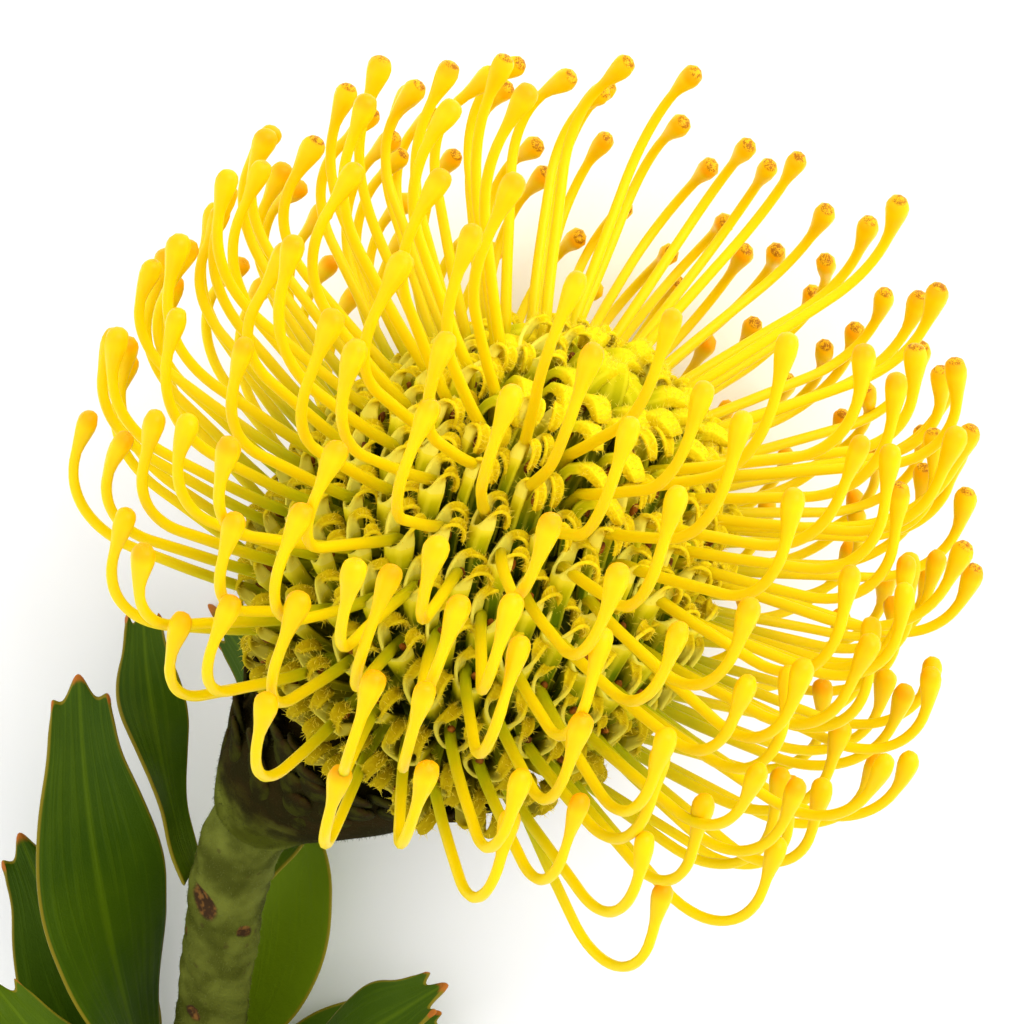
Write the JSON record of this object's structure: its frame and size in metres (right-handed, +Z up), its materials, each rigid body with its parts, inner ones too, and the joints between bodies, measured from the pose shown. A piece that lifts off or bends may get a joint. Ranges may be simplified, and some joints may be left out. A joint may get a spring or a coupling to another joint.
{
  "type": "cut flower",
  "caption": "Yellow pincushion protea bloom with hooked styles on a short leafy stem, lying on a flat surface.",
  "frame": {"origin": "on the supporting surface, below the middle of the whole part's bounding box", "axes": "+X from the stem's cut end to the top of the bloom, +Z up from the surface the flower lies on"},
  "size_m": [0.1828, 0.1064, 0.1064],
  "materials": {
    "bloom": "smooth, waxy yellow styles over downy golden florets",
    "involucre": "downy, dark olive-brown bracts",
    "stem": "matt, downy pale green bark with brown scars",
    "leaf": "satin, leathery green with a yellow-red margin"
  },
  "bodies": {
    "root": {"bloom": "bloom", "involucre": "involucre", "stem": "stem", "leaf_01": "leaf", "leaf_02": "leaf", "leaf_03": "leaf", "leaf_04": "leaf", "leaf_05": "leaf", "leaf_06": "leaf", "leaf_07": "leaf", "leaf_08": "leaf", "leaf_09": "leaf", "leaf_10": "leaf", "leaf_11": "leaf"}
  },
  "joints": []
}
